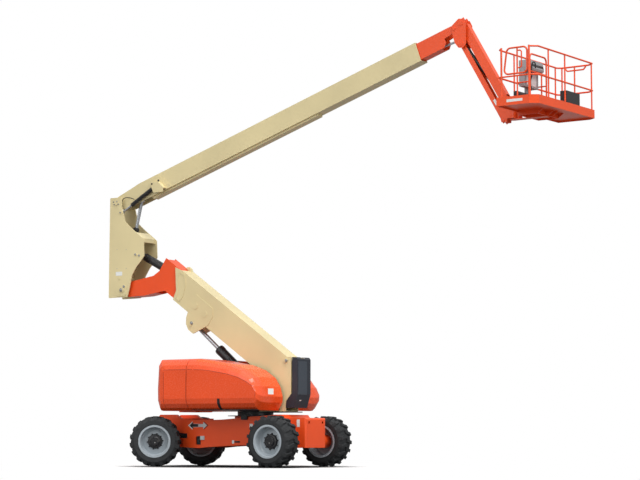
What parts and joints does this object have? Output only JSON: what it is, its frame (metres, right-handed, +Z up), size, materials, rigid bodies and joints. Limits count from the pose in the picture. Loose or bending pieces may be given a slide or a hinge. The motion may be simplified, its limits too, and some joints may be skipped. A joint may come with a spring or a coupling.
{
  "type": "articulating boom lift",
  "caption": "Self-propelled work platform on wheels: turntable, telescoping tower, upright, telescoping main boom, parallelogram jib and a railed platform.",
  "frame": {"origin": "on the ground, under the middle of the machine's overall box", "axes": "+X the way the main boom reaches, +Y to the machine's left, +Z up"},
  "size_m": [10.938, 2.7694, 8.8533],
  "materials": {
    "tyre": "matte",
    "rim": "satin",
    "cream": "satin",
    "orange": "satin",
    "weight": "satin",
    "hood": "gloss",
    "dark": "satin",
    "rod": "polished",
    "barrel": "satin",
    "cover": "satin",
    "engine": "matte",
    "tray": "matte",
    "console": "matte"
  },
  "bodies": {
    "chassis": {"chassis_frame": "orange", "axles": "dark"},
    "turntable": {"turntable_base": "dark", "turntable_cheeks": "cream", "counterweight": "weight", "end_cover": "cover", "engine": "engine"},
    "tower_base": {"tower_base": "cream"},
    "tower_fly": {"tower_fly": "orange"},
    "upright": {"upright": "cream"},
    "main_boom": {"main_boom": "cream"},
    "main_fly": {"main_fly": "orange"},
    "jib_head": {"jib_head": "orange"},
    "jib_upper_arm": {"jib_upper_arm": "orange"},
    "jib_lower_arm": {"jib_lower_arm": "orange"},
    "jib_bracket": {"jib_bracket": "orange"},
    "platform": {"platform_deck": "orange", "platform_rails": "orange", "platform_console": "console", "platform_trays": "tray"},
    "platform_gate": {"platform_gate": "orange"},
    "hood_right": {"hood_right": "hood"},
    "knuckle_right": {"knuckle_right": "dark"},
    "wheel_steer_right": {"tyre_steer_right": "tyre", "rim_steer_right": "rim"},
    "wheel_drive_right": {"tyre_drive_right": "tyre", "rim_drive_right": "rim"},
    "hood_left": {"hood_left": "hood"},
    "knuckle_left": {"knuckle_left": "dark"},
    "wheel_steer_left": {"tyre_steer_left": "tyre", "rim_steer_left": "rim"},
    "wheel_drive_left": {"tyre_drive_left": "tyre", "rim_drive_left": "rim"},
    "tower_lift_barrel": {"tower_lift_barrel": "barrel"},
    "tower_lift_rod": {"tower_lift_rod": "rod"},
    "level_barrel": {"level_barrel": "barrel"},
    "level_rod": {"level_rod": "rod"},
    "boom_lift_barrel": {"boom_lift_barrel": "barrel"},
    "boom_lift_rod": {"boom_lift_rod": "rod"},
    "master_barrel": {"master_barrel": "barrel"},
    "master_rod": {"master_rod": "rod"},
    "slave_barrel": {"slave_barrel": "barrel"},
    "slave_rod": {"slave_rod": "rod"},
    "jib_barrel": {"jib_barrel": "barrel"},
    "jib_rod": {"jib_rod": "rod"}
  },
  "joints": [
    {"name": "steering_right", "type": "hinge", "parent": "chassis", "child": "knuckle_right", "pos_m": [-3.72912, -0.78454, 0.52133], "axis": [0, 0, 1], "range_deg": [-65, 5]},
    {"name": "wheel_spin_steer_right", "type": "hinge", "parent": "knuckle_right", "child": "wheel_steer_right", "pos_m": [-3.62412, -0.96641, 0.52133], "axis": [-0.5, 0.866, 0], "continuous": true},
    {"name": "wheel_spin_drive_right", "type": "hinge", "parent": "chassis", "child": "wheel_drive_right", "pos_m": [-0.67912, -0.99454, 0.52133], "axis": [0, 1, 0], "continuous": true},
    {"name": "steering_left", "type": "hinge", "parent": "chassis", "child": "knuckle_left", "pos_m": [-3.72912, 0.78546, 0.52133], "axis": [0, 0, 1], "range_deg": [-65, 5]},
    {"name": "wheel_spin_steer_left", "type": "hinge", "parent": "knuckle_left", "child": "wheel_steer_left", "pos_m": [-3.83412, 0.96732, 0.52133], "axis": [-0.5, 0.866, 0], "continuous": true},
    {"name": "wheel_spin_drive_left", "type": "hinge", "parent": "chassis", "child": "wheel_drive_left", "pos_m": [-0.67912, 0.99546, 0.52133], "axis": [0, 1, 0], "continuous": true},
    {"name": "swing", "type": "hinge", "parent": "chassis", "child": "turntable", "pos_m": [-1.77412, 0.00046, 1.07883], "axis": [0, 0, 1], "continuous": true},
    {"name": "hood_right_lid", "type": "hinge", "parent": "turntable", "child": "hood_right", "pos_m": [-1.80412, -0.28954, 2.18883], "axis": [-1, 0, 0], "range_deg": [0, 60]},
    {"name": "hood_left_lid", "type": "hinge", "parent": "turntable", "child": "hood_left", "pos_m": [-1.80412, 0.29046, 2.18883], "axis": [1, 0, 0], "range_deg": [0, 60]},
    {"name": "tower_lift", "type": "hinge", "parent": "turntable", "child": "tower_base", "pos_m": [-0.87512, 0.00046, 2.16583], "axis": [0, 1, 0], "range_deg": [-35.3, 39]},
    {"name": "tower_extend", "type": "slide", "parent": "tower_base", "child": "tower_fly", "axis": [-0.8161, 0, 0.5779], "range_m": [0, 2.1]},
    {"name": "upright_level", "type": "hinge", "parent": "tower_fly", "child": "upright", "pos_m": [-5.08496, 0.00046, 3.7669], "axis": [0, 1, 0], "range_deg": [-39, 35.3]},
    {"name": "boom_lift", "type": "hinge", "parent": "upright", "child": "main_boom", "pos_m": [-5.27912, 0.00046, 5.67283], "axis": [0, -1, 0], "range_deg": [-21, 56]},
    {"name": "boom_extend", "type": "slide", "parent": "main_boom", "child": "main_fly", "axis": [0.9455, 0, 0.3256], "range_m": [0, 4.5]},
    {"name": "head_level", "type": "hinge", "parent": "main_fly", "child": "jib_head", "pos_m": [3.02346, 0.00046, 8.63], "axis": [0, -1, 0], "range_deg": [-56, 21]},
    {"name": "jib_lift", "type": "hinge", "parent": "jib_head", "child": "jib_upper_arm", "pos_m": [3.16488, 0.00046, 8.73183], "axis": [0, -1, 0], "range_deg": [0, 124]},
    {"name": "jib_link", "type": "hinge", "parent": "jib_head", "child": "jib_lower_arm", "pos_m": [3.16488, 0.00046, 8.31883], "axis": [0, -1, 0], "range_deg": [0, 124]},
    {"name": "bracket_level", "type": "hinge", "parent": "jib_upper_arm", "child": "jib_bracket", "pos_m": [4.07434, 0.00046, 7.14382], "axis": [0, -1, 0], "range_deg": [-124, 0]},
    {"name": "platform_rotate", "type": "hinge", "parent": "jib_bracket", "child": "platform", "pos_m": [4.24588, 0.00046, 6.79483], "axis": [0, 0, 1], "range_deg": [-87.2, 92.8]},
    {"name": "gate_swing", "type": "hinge", "parent": "platform", "child": "platform_gate", "pos_m": [4.65694, -1.21607, 7.59883], "axis": [0, 0, 1], "range_deg": [0, 90]},
    {"name": "tower_lift_barrel_pin", "type": "hinge", "parent": "turntable", "child": "tower_lift_barrel", "pos_m": [-1.34412, 0.00046, 1.27883], "axis": [0, -1, 0], "range_deg": [-35.58, 32.21]},
    {"name": "tower_lift_rod_slide", "type": "slide", "parent": "tower_lift_barrel", "child": "tower_lift_rod", "axis": [-0.7572, 0, 0.6531], "range_m": [-0.56624, 0.62558]},
    {"name": "level_barrel_pin", "type": "hinge", "parent": "upright", "child": "level_barrel", "pos_m": [-4.73012, 0.00046, 4.52383], "axis": [0, -1, 0], "range_deg": [-39.26, 35.53]},
    {"name": "level_rod_slide", "type": "slide", "parent": "level_barrel", "child": "level_rod", "axis": [0.8843, 0, -0.4669], "range_m": [-0.47976, 0.53004]},
    {"name": "boom_lift_barrel_pin", "type": "hinge", "parent": "upright", "child": "boom_lift_barrel", "pos_m": [-5.18212, 0.00046, 4.02783], "axis": [0, -1, 0], "range_deg": [-2.98, 7.93]},
    {"name": "boom_lift_rod_slide", "type": "slide", "parent": "boom_lift_barrel", "child": "boom_lift_rod", "axis": [0.2357, 0, 0.9718], "range_m": [-0.14662, 0.39083]},
    {"name": "master_barrel_pin", "type": "hinge", "parent": "main_boom", "child": "master_barrel", "pos_m": [-4.20724, -0.18954, 6.0123], "axis": [0, -1, 0], "range_deg": [-2.71, 1.02]},
    {"name": "master_rod_slide", "type": "slide", "parent": "master_barrel", "child": "master_rod", "axis": [-0.8645, 0, -0.5026], "range_m": [-0.08087, 0.21549]},
    {"name": "slave_barrel_pin", "type": "hinge", "parent": "main_fly", "child": "slave_barrel", "pos_m": [2.0144, 0.00046, 8.14189], "axis": [0, -1, 0], "range_deg": [-1.76, 4.67]},
    {"name": "slave_rod_slide", "type": "slide", "parent": "slave_barrel", "child": "slave_rod", "axis": [0.968, 0, 0.2508], "range_m": [-0.18072, 0.06783]},
    {"name": "jib_barrel_pin", "type": "hinge", "parent": "jib_head", "child": "jib_barrel", "pos_m": [3.16488, 0.00046, 8.31883], "axis": [0, -1, 0], "range_deg": [-0.01, 121.65]},
    {"name": "jib_rod_slide", "type": "slide", "parent": "jib_barrel", "child": "jib_rod", "axis": [0.6121, 0, -0.7908], "range_m": [-0.0001, 0.62339]}
  ],
  "couplings": [
    {"joint": "steering_left", "follows": "steering_right", "ratio": 1},
    {"joint": "upright_level", "follows": "tower_lift", "ratio": -1},
    {"joint": "head_level", "follows": "boom_lift", "ratio": -1},
    {"joint": "jib_link", "follows": "jib_lift", "ratio": 1},
    {"joint": "bracket_level", "follows": "jib_lift", "ratio": -1},
    {"joint": "tower_lift_barrel_pin", "follows": "tower_lift", "ratio": -0.9121},
    {"joint": "tower_lift_rod_slide", "follows": "tower_lift", "m_per_rad": 0.9189},
    {"joint": "level_barrel_pin", "follows": "tower_lift", "ratio": -1.0063},
    {"joint": "level_rod_slide", "follows": "tower_lift", "m_per_rad": 0.77854},
    {"joint": "boom_lift_barrel_pin", "follows": "boom_lift", "ratio": 0.14144},
    {"joint": "boom_lift_rod_slide", "follows": "boom_lift", "m_per_rad": 0.39977},
    {"joint": "master_barrel_pin", "follows": "boom_lift", "ratio": -0.04824},
    {"joint": "master_rod_slide", "follows": "boom_lift", "m_per_rad": 0.22037},
    {"joint": "slave_barrel_pin", "follows": "boom_lift", "ratio": 0.08313},
    {"joint": "slave_rod_slide", "follows": "boom_lift", "m_per_rad": -0.1848},
    {"joint": "jib_barrel_pin", "follows": "jib_lift", "ratio": 0.981},
    {"joint": "jib_rod_slide", "follows": "jib_lift", "m_per_rad": 0.288}
  ]
}
